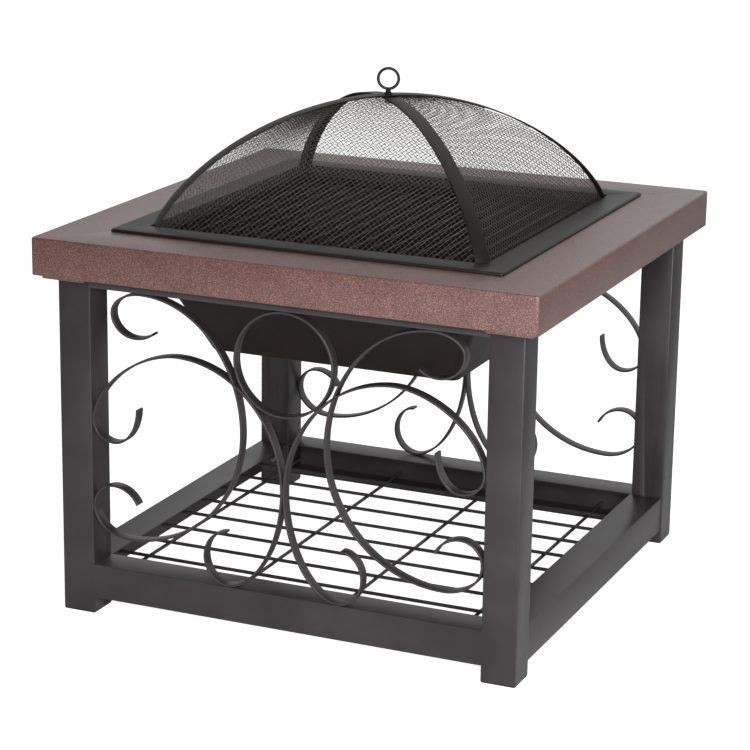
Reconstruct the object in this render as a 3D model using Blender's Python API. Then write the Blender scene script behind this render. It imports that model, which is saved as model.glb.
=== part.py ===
"""Square garden fire table with a cooking grate and a lift-off spark screen.

A sheet-steel tray top stands on four square tube legs. The front and back frames are welded up from
two legs, a channel rail, a slim top bar and a panel of flat-bar scrolls. Angle side rails are bolted
between the frames and a wire rack lies on the lips of the channels. A square steel bowl hangs in the
top, and a domed mesh screen, a cooking grate and a fuel grate lift out of it one after the other.

Origin on the ground below the centre, +X along the front to the right, front at -Y, +Z up. Metres.
"""

import math

import bmesh
import bpy
import numpy as np

# Clearance kept between pieces that touch on the real object.
GAP = 0.0003

# Table top: a folded tray.
TABLE_SIDE = 0.7112
TABLE_HEIGHT = 0.5232
FASCIA_HEIGHT = 0.0508
TRAY_WALL = 0.0015
TRAY_CORNER = 0.005
TRAY_EDGE = 0.0015
TRAY_OPENING_MARGIN = 0.0075

# Legs and their frame.
FRAME_INSET = 0.0256
LEG_SIDE = 0.048
LEG_CORNER = 0.002
LEG_WALL = 0.0015
LEG_DROP = 0.0062
PLUG_LIP = 0.0015
PLUG_LENGTH = 0.014
PLUG_WALL = 0.0025

# Rails: folded angles, and a slim bar over each scroll panel.
RAIL_TOP = 0.0708
RAIL_HEIGHT = 0.048
SIDE_RAIL_HEIGHT = 0.051
RAIL_WIDTH = 0.048
RAIL_WALL = 0.002
SIDE_RAIL_INSET = 0.0015
SIDE_RAIL_END_GAP = 0.0016
TOP_RAIL_HEIGHT = 0.0090
TOP_RAIL_DEPTH = 0.020

# Wire rack, carried on the lips of the end rails.
LIP_TOP = 0.0320
RACK_WIRE = 0.0050
RACK_WELD_SINK = 0.0005
RACK_END_CLEARANCE = 0.002
RACK_LEG_CLEARANCE = 0.0008
RACK_LENGTH_SHARE = 0.905
RACK_LONG_WIRES = 9
RACK_PITCH_SHARE = 0.195
RACK_CROSS_PLACES = (-1.0, -0.389, 0.167, 0.801)

# Scrolls: flat bar bent on edge to the panel.
SCROLL_WIDTH = 0.016
SCROLL_THICKNESS = 0.003
ARC_STEPS = 9

# Fire bowl.
FLANGE_WIDTH = 0.038
FLANGE_RISE = 0.0040
FLANGE_CORNER = 0.004
BOWL_MOUTH_SIDE = 0.482
BOWL_WALL = 0.0016
SEAT_DEPTH = 0.0269
SEAT_WIDTH = 0.0120
BOWL_UPRIGHT = 0.0443
PAN_DEPTH = 0.1065
PAN_SLOPE_IN = 0.0485
BOWL_CORNER = 0.012

# Fuel grate in the bowl.
FUEL_BAR = 0.008
FUEL_BARS = 9
FUEL_SIDE_MARGIN = 0.0343
FUEL_CROSS_SHARE = 0.62
FUEL_GRATE_LIFT = 0.028
FUEL_WALL_CLEARANCE = 0.006

# Cooking grate.
GRATE_RAIL = 0.006
GRATE_ROD = 0.0045
GRATE_RODS = 19
GRATE_SIDE_MARGIN = 0.0299
GRATE_WELD_SINK = 0.0006

# Spark screen.
HOOP_CLEARANCE = 0.0015
HOOP_WALL = 0.0020
HOOP_HEIGHT = 0.014
HOOP_FLANGE = 0.006
ARCH_SET_IN = 0.0026
STRAP_WIDTH = 0.020
STRAP_THICKNESS = 0.002
ARCH_RISE = 0.1713
ARCH_RUN_POWER = 1.96
ARCH_RISE_POWER = 1.44
ARCH_STEPS = 18
MESH_THICKNESS = 0.0014
MESH_EDGE_GAP = 0.0010
MESH_START = 0.010

# Lift ring: an eye bolt with a washer above and a nut below.
RING_DIAMETER = 0.032
RING_WIRE = 0.004
RING_STEM = 0.005
COLLAR_DIAMETER = 0.0085
COLLAR_TOP_DIAMETER = 0.0055
STEM_HOLE = 0.0058
WASHER_DIAMETER = 0.012
WASHER_THICKNESS = 0.0012
STEM_BELOW_NUT = 0.002
RING_LIFT = 0.0035
RING_FACE_TURN = 20
NUT_WIDTH = 0.009
NUT_HEIGHT = 0.004

# Fasteners of the legs and rails.
BRACKET_MARGIN = 0.0145
BRACKET_WALL = 0.0025
BRACKET_OVERHANG = 0.015
WEB_HEIGHT_CLEARANCE = 0.0006
BOLT_DIAMETER = 0.006
BOLT_HOLE = 0.0068
BOLT_HEAD_WIDTH = 0.010
BOLT_HEAD_HEIGHT = 0.004
TABLE_BOLT_LENGTH = 0.012
RAIL_BOLT_LENGTH = 0.007
RAIL_TAB_WIDTH = 0.036
RAIL_BOLT_DROP = 0.026

# Values that follow from the ones above.
TABLE_HALF = TABLE_SIDE / 2
FRAME_HALF = TABLE_HALF - FRAME_INSET
LEG_CENTRE = FRAME_HALF - LEG_SIDE / 2
LEG_INNER = FRAME_HALF - LEG_SIDE
LEG_TOP = TABLE_HEIGHT - FASCIA_HEIGHT - LEG_DROP
TOP_RAIL_BOTTOM = LEG_TOP - TOP_RAIL_HEIGHT
FLANGE_TOP = TABLE_HEIGHT + FLANGE_RISE
SEAT_TOP = FLANGE_TOP - SEAT_DEPTH
MOUTH_HALF = BOWL_MOUTH_SIDE / 2
FLANGE_HALF = MOUTH_HALF + FLANGE_WIDTH
THROAT_HALF = MOUTH_HALF - SEAT_WIDTH
PAN_TOP = SEAT_TOP - BOWL_UPRIGHT
BOWL_UNDERSIDE = PAN_TOP - PAN_DEPTH
PAN_HALF = THROAT_HALF - PAN_SLOPE_IN
HOOP_HALF = MOUTH_HALF - HOOP_CLEARANCE
HOOP_TOP = SEAT_TOP + GAP + HOOP_HEIGHT
ARCH_FOOT = HOOP_TOP + GAP
ARCH_TOP = ARCH_FOOT + ARCH_RISE
BRACKET_SIDE = LEG_SIDE + BRACKET_MARGIN
STRAP_LIFT = STRAP_THICKNESS + 2 * GAP
HOLE_SIDES = 12
STRAP_HOLE_SIDES = 16
HEXAGON_STEPS = 24
RING_FACETS = 36
RING_FIT_ROUNDS = 60
SIDES = (("left", -1), ("right", 1))
ENDS = (("front", -1), ("back", 1))


def clear_scene():
    for found in list(bpy.data.objects):
        bpy.data.objects.remove(found, do_unlink=True)


def finish(name, colour, roughness, metallic):
    """A material whose Principled shader holds one finish."""
    material = bpy.data.materials.new(name)
    material.use_nodes = True
    shader = material.node_tree.nodes["Principled BSDF"]
    shader.inputs["Base Color"].default_value = (*colour, 1.0)
    shader.inputs["Roughness"].default_value = roughness
    shader.inputs["Metallic"].default_value = metallic
    return material


def add_object(name, points, faces, material, smooth=None):
    """A mesh object from points in world metres; smooth is the angle under which edges are shaded round."""
    mesh = bpy.data.meshes.new(name)
    mesh.from_pydata([tuple(point) for point in points], [], faces)
    shape = bmesh.new()
    shape.from_mesh(mesh)
    bmesh.ops.recalc_face_normals(shape, faces=shape.faces)
    shape.to_mesh(mesh)
    shape.free()
    if smooth is not None:
        mesh.shade_smooth()
        mesh.set_sharp_from_angle(angle=math.radians(smooth))
    mesh.materials.append(material)
    made = bpy.data.objects.new(name, mesh)
    bpy.context.scene.collection.objects.link(made)
    return made


def loft(loops, ring=False):
    """Points and faces of a skin through loops of equal length, capped at both ends or joined into a ring."""
    count = len(loops[0])
    points = [point for loop in loops for point in loop]
    faces = []
    bands = len(loops) if ring else len(loops) - 1
    for band in range(bands):
        here = band * count
        there = (band + 1) % len(loops) * count
        for step in range(count):
            after = (step + 1) % count
            faces.append((here + step, here + after, there + after, there + step))
    if not ring:
        faces.append(tuple(range(count))[::-1])
        last = (len(loops) - 1) * count
        faces.append(tuple(range(last, last + count)))
    return points, faces


def square_loop(half, z, corner=0.0, steps=3, centre=(0.0, 0.0)):
    """Points round a square of this half side, its corners rounded to the radius corner."""
    points = []
    for quarter in range(4):
        turn = math.radians(45 + 90 * quarter)
        middle_x = centre[0] + (half - corner) * math.copysign(1, math.cos(turn))
        middle_y = centre[1] + (half - corner) * math.copysign(1, math.sin(turn))
        for step in range(steps + 1):
            angle = turn - math.pi / 4 + math.pi / 2 * step / steps
            points.append(
                (middle_x + corner * math.cos(angle), middle_y + corner * math.sin(angle), z)
            )
    return points


def circle_loop(centre, radius, z, sides, start=0.0):
    turns = [start + 2 * math.pi * side / sides for side in range(sides)]
    return [
        (centre[0] + radius * math.cos(turn), centre[1] + radius * math.sin(turn), z)
        for turn in turns
    ]


def prism(outline, low, high, axis):
    """Points and faces of an outline of (a, b) pairs drawn from low to high along the axis x or y.

    Along x the pairs are (y, z); along y they are (x, z).
    """
    if axis == "x":
        loops = [[(place, a, b) for a, b in outline] for place in (low, high)]
    else:
        loops = [[(a, place, b) for a, b in outline] for place in (low, high)]
    return loft(loops)


def bar(name, low, high, material):
    """A box between two opposite corners."""
    outline = ((low[0], low[2]), (high[0], low[2]), (high[0], high[2]), (low[0], high[2]))
    return add_object(name, *prism(outline, low[1], high[1], "y"), material)


def helper(made):
    """Marks an object as a cutter or a joined helper, which is no piece of the table."""
    made.hide_render = True
    made.display_type = "WIRE"
    return made


def group_helpers(name, made):
    group = bpy.data.collections.new(name)
    bpy.context.scene.collection.children.link(group)
    for one in made:
        group.objects.link(helper(one))
        bpy.context.scene.collection.objects.unlink(one)
    return group


def boolean(target, operation, helpers):
    change = target.modifiers.new(operation.title(), "BOOLEAN")
    change.operation = operation
    change.solver = "EXACT"
    change.operand_type = "COLLECTION"
    change.collection = group_helpers(f"{target.name}_{operation.lower()}", helpers)


def cylinder(name, centre, radius, low, high, sides, material, smooth=60):
    loops = [circle_loop(centre, radius, z, sides) for z in (low, high)]
    return add_object(name, *loft(loops), material, smooth)


def turned_to_y(made, centre_x, centre_y, centre_z):
    """Turns points drawn round +Z so that they run along +Y from the given point."""
    for vertex in made.data.vertices:
        x, y, z = vertex.co
        vertex.co = (centre_x + x, centre_y + z, centre_z - y)
    return made


# ---------------------------------------------------------------- legs, plugs, rails


def make_leg(name, centre, back_sign, material):
    """A square tube with a welded cap, open at its foot, drilled for its table bolt and rail bolt."""
    half = LEG_SIDE / 2
    inner = half - LEG_WALL
    bore = max(LEG_CORNER - LEG_WALL, LEG_CORNER / 3)
    loops = [
        square_loop(inner, LEG_TOP - LEG_WALL, bore, 2, centre),
        square_loop(inner, PLUG_LIP, bore, 2, centre),
        square_loop(half, PLUG_LIP, LEG_CORNER, 2, centre),
        square_loop(half, LEG_TOP, LEG_CORNER, 2, centre),
    ]
    leg = add_object(name, *loft(loops), material, 50)
    cap_cut = cylinder(
        f"{name}_cap_hole",
        centre,
        BOLT_HOLE / 2,
        LEG_TOP - LEG_WALL - half / 4,
        LEG_TOP + half / 4,
        HOLE_SIDES,
        material,
    )
    wall_cut = cylinder(
        f"{name}_wall_hole", (0, 0), BOLT_HOLE / 2, -half / 4, half / 4, HOLE_SIDES, material
    )
    wall_place = centre[1] - back_sign * (half - LEG_WALL / 2)
    turned_to_y(wall_cut, centre[0], wall_place, RAIL_TOP - RAIL_BOLT_DROP)
    boolean(leg, "DIFFERENCE", [cap_cut, wall_cut])


def make_plug(name, centre, material):
    """A moulded foot plug: a thin sole and a hollow spigot that grips the tube."""
    grip = LEG_SIDE / 2 - LEG_WALL - GAP
    bore = grip - PLUG_WALL
    sole = LEG_SIDE / 2 - LEG_WALL / 3
    floor = PLUG_LIP + PLUG_WALL
    loops = [
        square_loop(sole, 0.0, LEG_CORNER, 2, centre),
        square_loop(sole, PLUG_LIP - GAP, LEG_CORNER, 2, centre),
        square_loop(grip, PLUG_LIP - GAP, LEG_CORNER / 2, 2, centre),
        square_loop(grip, PLUG_LENGTH, LEG_CORNER / 2, 2, centre),
        square_loop(bore, PLUG_LENGTH, LEG_CORNER / 3, 2, centre),
        square_loop(bore, floor, LEG_CORNER / 3, 2, centre),
    ]
    add_object(name, *loft(loops), material, 50)


def angle_outline(outer, inward):
    """A side rail's angle: a web that hangs at outer and a top flange that runs inward, +1 or -1."""
    inner = outer + inward * RAIL_WIDTH
    web = outer + inward * RAIL_WALL
    low = RAIL_TOP - SIDE_RAIL_HEIGHT
    return (
        (outer, RAIL_TOP),
        (inner, RAIL_TOP),
        (inner, RAIL_TOP - RAIL_WALL),
        (web, RAIL_TOP - RAIL_WALL),
        (web, low),
        (outer, low),
    )


def channel_outline(outer, inward):
    """An end rail's channel, open inward, whose bottom flange ends in an upturned lip for the rack."""
    inner = outer + inward * RAIL_WIDTH
    web = outer + inward * RAIL_WALL
    lip = inner - inward * RAIL_WALL
    low = RAIL_TOP - RAIL_HEIGHT
    return (
        (outer, RAIL_TOP),
        (inner, RAIL_TOP),
        (inner, RAIL_TOP - RAIL_WALL),
        (web, RAIL_TOP - RAIL_WALL),
        (web, low + RAIL_WALL),
        (lip, low + RAIL_WALL),
        (lip, LIP_TOP),
        (inner, LIP_TOP),
        (inner, low),
        (outer, low),
    )


def make_end_rails(materials):
    """Front and back channels that carry the rack, and the slim bars over the scrolls."""
    reach = LEG_INNER - GAP
    for end, sign in ENDS:
        outer = sign * FRAME_HALF
        outline = channel_outline(outer, -sign)
        add_object(f"bottom_rail_{end}", *prism(outline, -reach, reach, "x"), materials["frame"])
        low_y, high_y = sorted((outer, outer - sign * TOP_RAIL_DEPTH))
        bar(
            f"top_rail_{end}",
            (-reach, low_y, TOP_RAIL_BOTTOM),
            (reach, high_y, LEG_TOP),
            materials["frame"],
        )


def make_side_rails(materials):
    """Side angle rails that stop short of the legs, with a tab at each end that is bolted to its leg."""
    reach = LEG_INNER - SIDE_RAIL_END_GAP
    bolt_z = RAIL_TOP - RAIL_BOLT_DROP
    for side, sign in SIDES:
        outer = sign * (FRAME_HALF - SIDE_RAIL_INSET)
        outline = angle_outline(outer, -sign)
        rail = add_object(
            f"side_rail_{side}", *prism(outline, -reach, reach, "y"), materials["frame"]
        )
        tabs = []
        cutters = []
        for end, back_sign in ENDS:
            end_y = back_sign * (LEG_INNER - GAP)
            low_y, high_y = sorted((end_y, end_y - back_sign * RAIL_WALL))
            low_x, high_x = sorted(
                (outer - sign * RAIL_WALL / 2, outer - sign * RAIL_TAB_WIDTH)
            )
            tab = bar(
                f"side_rail_{side}_tab_{end}",
                (low_x, low_y, RAIL_TOP - RAIL_HEIGHT),
                (high_x, high_y, RAIL_TOP - RAIL_WALL / 2),
                materials["frame"],
            )
            tabs.append(tab)
            cut = cylinder(
                f"side_rail_{side}_hole_{end}",
                (0, 0),
                BOLT_HOLE / 2,
                -2 * RAIL_WALL,
                2 * RAIL_WALL,
                HOLE_SIDES,
                materials["frame"],
            )
            cutters.append(turned_to_y(cut, sign * LEG_CENTRE, end_y, bolt_z))
            make_rail_bolt(f"rail_bolt_{end}_{side}", sign * LEG_CENTRE, end_y, back_sign, materials)
        boolean(rail, "UNION", tabs)
        boolean(rail, "DIFFERENCE", cutters)


def make_rail_bolt(name, x, end_y, back_sign, materials):
    """A hexagon bolt whose head bears on the rail's tab and whose shank enters the leg."""
    head_face = end_y - back_sign * (RAIL_WALL + GAP)
    z = RAIL_TOP - RAIL_BOLT_DROP
    loops = [
        circle_loop((0, 0), BOLT_HEAD_WIDTH / 2, -BOLT_HEAD_HEIGHT, HOLE_SIDES),
        circle_loop((0, 0), BOLT_HEAD_WIDTH / 2, 0.0, HOLE_SIDES),
        circle_loop((0, 0), BOLT_DIAMETER / 2, 0.0, HOLE_SIDES),
        circle_loop((0, 0), BOLT_DIAMETER / 2, RAIL_BOLT_LENGTH, HOLE_SIDES),
    ]
    if back_sign < 0:
        loops = [[(px, py, -pz) for px, py, pz in loop] for loop in loops]
    bolt = add_object(name, *loft(loops), materials["zinc"], 40)
    turned_to_y(bolt, x, head_face, z)


def make_corner(end, back_sign, side, sign, materials):
    """The folded bracket that carries a corner of the tray, and the bolt that holds it to the leg."""
    outer = FRAME_HALF + BRACKET_OVERHANG
    inner = outer - BRACKET_SIDE
    low = LEG_TOP + GAP
    high = low + BRACKET_WALL
    top = TABLE_HEIGHT - TRAY_WALL - WEB_HEIGHT_CLEARANCE
    low_x, high_x = sorted((sign * inner, sign * outer))
    low_y, high_y = sorted((back_sign * inner, back_sign * outer))
    name = f"corner_bracket_{end}_{side}"
    plate = bar(name, (low_x, low_y, low), (high_x, high_y, high), materials["bronze"])
    web_x = sorted((sign * (outer - BRACKET_WALL), sign * outer))
    web_y = sorted((back_sign * (outer - BRACKET_WALL), back_sign * outer))
    sink = high - BRACKET_WALL / 2
    webs = [
        bar(f"{name}_web_x", (web_x[0], low_y, sink), (web_x[1], high_y, top), materials["bronze"]),
        bar(f"{name}_web_y", (low_x, web_y[0], sink), (high_x, web_y[1], top), materials["bronze"]),
    ]
    boolean(plate, "UNION", webs)
    centre = (sign * LEG_CENTRE, back_sign * LEG_CENTRE)
    hole = cylinder(
        f"{name}_hole",
        centre,
        BOLT_HOLE / 2,
        low - BRACKET_WALL,
        high + BRACKET_WALL,
        HOLE_SIDES,
        materials["bronze"],
    )
    boolean(plate, "DIFFERENCE", [hole])
    seat = high + GAP
    loops = [
        circle_loop(centre, BOLT_DIAMETER / 2, seat - TABLE_BOLT_LENGTH, HOLE_SIDES),
        circle_loop(centre, BOLT_DIAMETER / 2, seat, HOLE_SIDES),
        circle_loop(centre, BOLT_HEAD_WIDTH / 2, seat, HOLE_SIDES),
        circle_loop(centre, BOLT_HEAD_WIDTH / 2, seat + BOLT_HEAD_HEIGHT, HOLE_SIDES),
    ]
    add_object(f"table_bolt_{end}_{side}", *loft(loops), materials["zinc"], 40)


# ---------------------------------------------------------------- table top and rack


def make_table_top(material):
    """The folded tray: a top plate with a square opening and a fascia on all four sides."""
    opening = MOUTH_HALF + BOWL_WALL + TRAY_OPENING_MARGIN
    low = TABLE_HEIGHT - FASCIA_HEIGHT
    inner = TABLE_HALF - TRAY_WALL
    inner_corner = TRAY_CORNER - TRAY_WALL
    under = TABLE_HEIGHT - TRAY_WALL
    loops = [
        square_loop(opening, TABLE_HEIGHT, TRAY_CORNER),
        square_loop(TABLE_HALF - TRAY_EDGE, TABLE_HEIGHT, TRAY_CORNER),
        square_loop(TABLE_HALF, TABLE_HEIGHT - TRAY_EDGE, TRAY_CORNER),
        square_loop(TABLE_HALF, low, TRAY_CORNER),
        square_loop(inner, low, inner_corner),
        square_loop(inner, under, inner_corner),
        square_loop(opening, under, TRAY_CORNER),
    ]
    add_object("table_top", *loft(loops, ring=True), material, 50)


def make_shelf_rack(material):
    """Long wires welded over cross wires, whose ends lie on the lips inside the end rails."""
    half = RACK_WIRE / 2
    cross_reach = FRAME_HALF - RAIL_WALL - RACK_END_CLEARANCE
    cross_limit = LEG_INNER - RACK_LEG_CLEARANCE - half
    web = FRAME_HALF - SIDE_RAIL_INSET - RAIL_WALL
    left_end = RACK_END_CLEARANCE - web
    right_end = left_end + RACK_LENGTH_SHARE * 2 * (web - RACK_END_CLEARANCE)
    cross_z = LIP_TOP + GAP + half
    long_z = cross_z + RACK_WIRE - RACK_WELD_SINK
    cross_wires = []
    for number, place in enumerate(RACK_CROSS_PLACES):
        x = place * cross_limit
        cross_wires.append(
            bar(
                f"rack_cross_{number}",
                (x - half, -cross_reach, cross_z - half),
                (x + half, cross_reach, cross_z + half),
                material,
            )
        )
    long_wires = []
    for number in range(RACK_LONG_WIRES):
        y = (number - (RACK_LONG_WIRES - 1) / 2) * RACK_PITCH_SHARE * cross_reach
        long_wires.append(
            bar(
                f"rack_long_{number}",
                (left_end, y - half, long_z - half),
                (right_end, y + half, long_z + half),
                material,
            )
        )
    rack = long_wires[0]
    rack.name = "shelf_rack"
    boolean(rack, "UNION", cross_wires)
    boolean_more(rack, long_wires[1:])


def boolean_more(target, helpers):
    """A second union, for pieces that only meet the target through the first union."""
    change = target.modifiers.new("Union more", "BOOLEAN")
    change.operation = "UNION"
    change.solver = "EXACT"
    change.operand_type = "COLLECTION"
    change.collection = group_helpers(f"{target.name}_more", helpers)


# ---------------------------------------------------------------- scrolls


def panel_point(u, v):
    """Centre line of a bar at share u of the way to the leg and v of the way up the panel.

    0 and 1 are where the bar touches its twin, the leg, the bottom rail or the top rail.
    """
    touch = SCROLL_THICKNESS / 2 + GAP
    inner = SCROLL_THICKNESS / 2 + GAP / 2
    x = inner + u * (LEG_INNER - touch - inner)
    low = RAIL_TOP + touch
    high = TOP_RAIL_BOTTOM - touch
    return np.array((x, low + v * (high - low)))


def quarter(start, end, upright_first, power=2.0, begin=0.0, stop=1.0, steps=ARC_STEPS):
    """Points on a quarter of an oval between two places where the bar runs level or upright.

    upright_first says that the bar leaves start upright and reaches end level.
    """
    points = []
    for step in range(steps + 1):
        turn = math.pi / 2 * (begin + (stop - begin) * step / steps)
        rise = math.sin(turn) ** (2 / power)
        run = 1 - math.cos(turn) ** (2 / power)
        share = (run, rise) if upright_first else (rise, run)
        points.append(start + (end - start) * np.array(share))
    return points


def chain(arcs):
    """One centre line from arcs that follow each other, without their doubled ends."""
    line = list(arcs[0])
    for arc in arcs[1:]:
        line += arc[1:]
    return np.array(line)


def big_scroll():
    """The tall C scroll: small curls at both ends of one wide arc that opens to the leg."""
    upper_tip_side = panel_point(0.652, 0.900)
    upper_curl_low = panel_point(0.767, 0.843)
    upper_curl_side = panel_point(0.892, 0.926)
    top = panel_point(0.735, 1.0)
    waist = panel_point(0.209, 0.552)
    bottom = panel_point(0.812, 0.109)
    leg_touch = panel_point(1.0, 0.217)
    lower_curl_top = panel_point(0.892, 0.298)
    lower_tip_side = panel_point(0.752, 0.196)
    return chain(
        [
            quarter(upper_tip_side, upper_curl_low, True, begin=0.40, steps=5),
            quarter(upper_curl_low, upper_curl_side, False, steps=6),
            quarter(upper_curl_side, top, True, steps=6),
            quarter(top, waist, False),
            quarter(waist, bottom, True),
            quarter(bottom, leg_touch, False, steps=6),
            quarter(leg_touch, lower_curl_top, True, steps=6),
            quarter(lower_curl_top, lower_tip_side, False, stop=0.72, steps=5),
        ]
    )


def wave_scroll():
    """The long S scroll: a curl at the leg, a shoulder, the twin's side, and a hook on the rail."""
    tip = panel_point(0.762, 0.588)
    curl_low = panel_point(0.888, 0.457)
    leg_touch = panel_point(1.0, 0.530)
    shoulder = panel_point(0.550, 0.796)
    twin_touch = panel_point(0.0, 0.366)
    rail_touch = panel_point(0.281, 0.0)
    hook_side = panel_point(0.403, 0.097)
    hook_top = panel_point(0.296, 0.190)
    return chain(
        [
            quarter(tip, curl_low, True, steps=6),
            quarter(curl_low, leg_touch, False, steps=6),
            quarter(leg_touch, shoulder, True, power=1.75),
            quarter(shoulder, twin_touch, False, steps=2 * ARC_STEPS),
            quarter(twin_touch, rail_touch, True, power=1.88),
            quarter(rail_touch, hook_side, False, steps=6),
            quarter(hook_side, hook_top, True, steps=6),
        ]
    )


def normals_of(line):
    ahead = np.gradient(line, axis=0)
    ahead /= np.linalg.norm(ahead, axis=1)[:, None]
    return np.stack([-ahead[:, 1], ahead[:, 0]], axis=1)


def distance_to(line, point):
    """The shortest distance from a point to the stretches of a centre line."""
    starts = line[:-1]
    runs = line[1:] - starts
    share = ((point - starts) * runs).sum(axis=1) / (runs**2).sum(axis=1)
    nearest = starts + runs * np.clip(share, 0, 1)[:, None]
    return np.linalg.norm(nearest - point, axis=1).min()


def refined(line, parts):
    """The same centre line with each stretch cut into equal parts."""
    shares = np.arange(parts) / parts
    points = [a + (b - a) * share for a, b in zip(line[:-1], line[1:]) for share in shares]
    return np.array(points + [line[-1]])


def split_where_crossed(line, other):
    """The stretches of a centre line on both sides of the bar that it meets, each clear of that bar."""
    fine = refined(line, 12)
    edges = normals_of(fine) * SCROLL_THICKNESS / 2
    room = SCROLL_THICKNESS / 2 + GAP
    clear = [
        min(distance_to(other, point + edge), distance_to(other, point - edge)) > room
        and distance_to(other, point) > room
        for point, edge in zip(fine, edges)
    ]
    blocked = [number for number, free in enumerate(clear) if not free]
    before = fine[: blocked[0]]
    after = fine[blocked[-1] + 1 :]
    return thinned(before, line), thinned(after, line)


def thinned(fine, line):
    """The fine stretch's ends with only the points between them that the drawn line has."""
    kept = [fine[0]]
    for point in fine[1:-1]:
        far_from_ends = min(
            np.linalg.norm(point - fine[0]), np.linalg.norm(point - fine[-1])
        )
        on_line = np.linalg.norm(line - point, axis=1).min() < GAP / 10
        if on_line and far_from_ends > SCROLL_THICKNESS / 2:
            kept.append(point)
    return np.array(kept + [fine[-1]])


def make_strip(name, line, sign, end_sign, material):
    """A flat bar along a centre line, its broad side across the panel; sign mirrors it left."""
    normals = normals_of(line) * SCROLL_THICKNESS / 2
    outer_y = end_sign * FRAME_HALF
    inner_y = end_sign * (FRAME_HALF - SCROLL_WIDTH)
    loops = []
    for point, edge in zip(line, normals):
        one = point + edge
        two = point - edge
        loops.append(
            [
                (sign * one[0], outer_y, one[1]),
                (sign * one[0], inner_y, one[1]),
                (sign * two[0], inner_y, two[1]),
                (sign * two[0], outer_y, two[1]),
            ]
        )
    add_object(name, *loft(loops), material, 35)


def ring_radius(line):
    """The radius of a ring that hangs from the top rail and rests on both wave scrolls."""
    top = TOP_RAIL_BOTTOM - GAP - SCROLL_THICKNESS / 2
    radius = (top - RAIL_TOP) / 5
    for _ in range(RING_FIT_ROUNDS):
        reach = distance_to(line, np.array((0.0, top - radius)))
        radius += 0.5 * (reach - SCROLL_THICKNESS - GAP - radius)
    return radius, top - radius


def make_ring(name, radius, height, end_sign, material):
    """A closed hoop of the same flat bar."""
    outer_y = end_sign * FRAME_HALF
    inner_y = end_sign * (FRAME_HALF - SCROLL_WIDTH)
    low = radius - SCROLL_THICKNESS / 2
    high = (radius + SCROLL_THICKNESS / 2) / math.cos(math.pi / RING_FACETS) - GAP / 3
    loops = []
    for size, place in ((low, outer_y), (high, outer_y), (high, inner_y), (low, inner_y)):
        turns = [2 * math.pi * (side + 0.5) / RING_FACETS for side in range(RING_FACETS)]
        loops.append(
            [(size * math.sin(t), place, height + size * math.cos(t)) for t in turns]
        )
    add_object(name, *loft(loops, ring=True), material, 35)


def make_scrolls(material):
    tall = big_scroll()
    wave = wave_scroll()
    outer_piece, inner_piece = split_where_crossed(wave, refined(tall, 4))
    radius, height = ring_radius(refined(wave, 4))
    for end, end_sign in ENDS:
        for side, sign in SIDES:
            place = f"{end}_{side}"
            make_strip(f"c_scroll_{place}", tall, sign, end_sign, material)
            make_strip(f"shoulder_scroll_{place}", outer_piece, sign, end_sign, material)
            make_strip(f"wave_scroll_{place}", inner_piece, sign, end_sign, material)
        make_ring(f"centre_ring_{end}", radius, height, end_sign, material)


# ---------------------------------------------------------------- bowl and grates


def make_bowl(material):
    """The bowl: a turned-down flange, a seat for screen and grate, upright walls and a sloped pan."""
    flange = FLANGE_HALF
    lip_low = TABLE_HEIGHT + GAP
    under = FLANGE_TOP - BOWL_WALL
    seat_under = SEAT_TOP - BOWL_WALL
    mouth_out = MOUTH_HALF + BOWL_WALL
    throat_out = THROAT_HALF + BOWL_WALL
    floor_in = PAN_HALF - BOWL_WALL
    small = FLANGE_CORNER
    round_in = BOWL_CORNER - BOWL_WALL
    loops = [
        square_loop(PAN_HALF, BOWL_UNDERSIDE, BOWL_CORNER),
        square_loop(throat_out, PAN_TOP, BOWL_CORNER),
        square_loop(throat_out, seat_under, BOWL_CORNER),
        square_loop(mouth_out, seat_under, BOWL_CORNER),
        square_loop(mouth_out, under, small),
        square_loop(flange - BOWL_WALL, under, small / 2),
        square_loop(flange - BOWL_WALL, lip_low, small / 2),
        square_loop(flange, lip_low, small),
        square_loop(flange, FLANGE_TOP - BOWL_WALL, small),
        square_loop(flange - BOWL_WALL, FLANGE_TOP, small),
        square_loop(MOUTH_HALF, FLANGE_TOP, small),
        square_loop(MOUTH_HALF, SEAT_TOP, small),
        square_loop(THROAT_HALF, SEAT_TOP, round_in),
        square_loop(THROAT_HALF, PAN_TOP, round_in),
        square_loop(floor_in, BOWL_UNDERSIDE + BOWL_WALL, round_in),
    ]
    add_object("fire_bowl", *loft(loops), material, 40)


def bowl_inside_half(z):
    """Half the clear width of the bowl at a height."""
    low = BOWL_UNDERSIDE + BOWL_WALL
    share = min(max((z - low) / (PAN_TOP - low), 0.0), 1.0)
    floor_in = PAN_HALF - BOWL_WALL
    return floor_in + share * (THROAT_HALF - floor_in)


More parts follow.
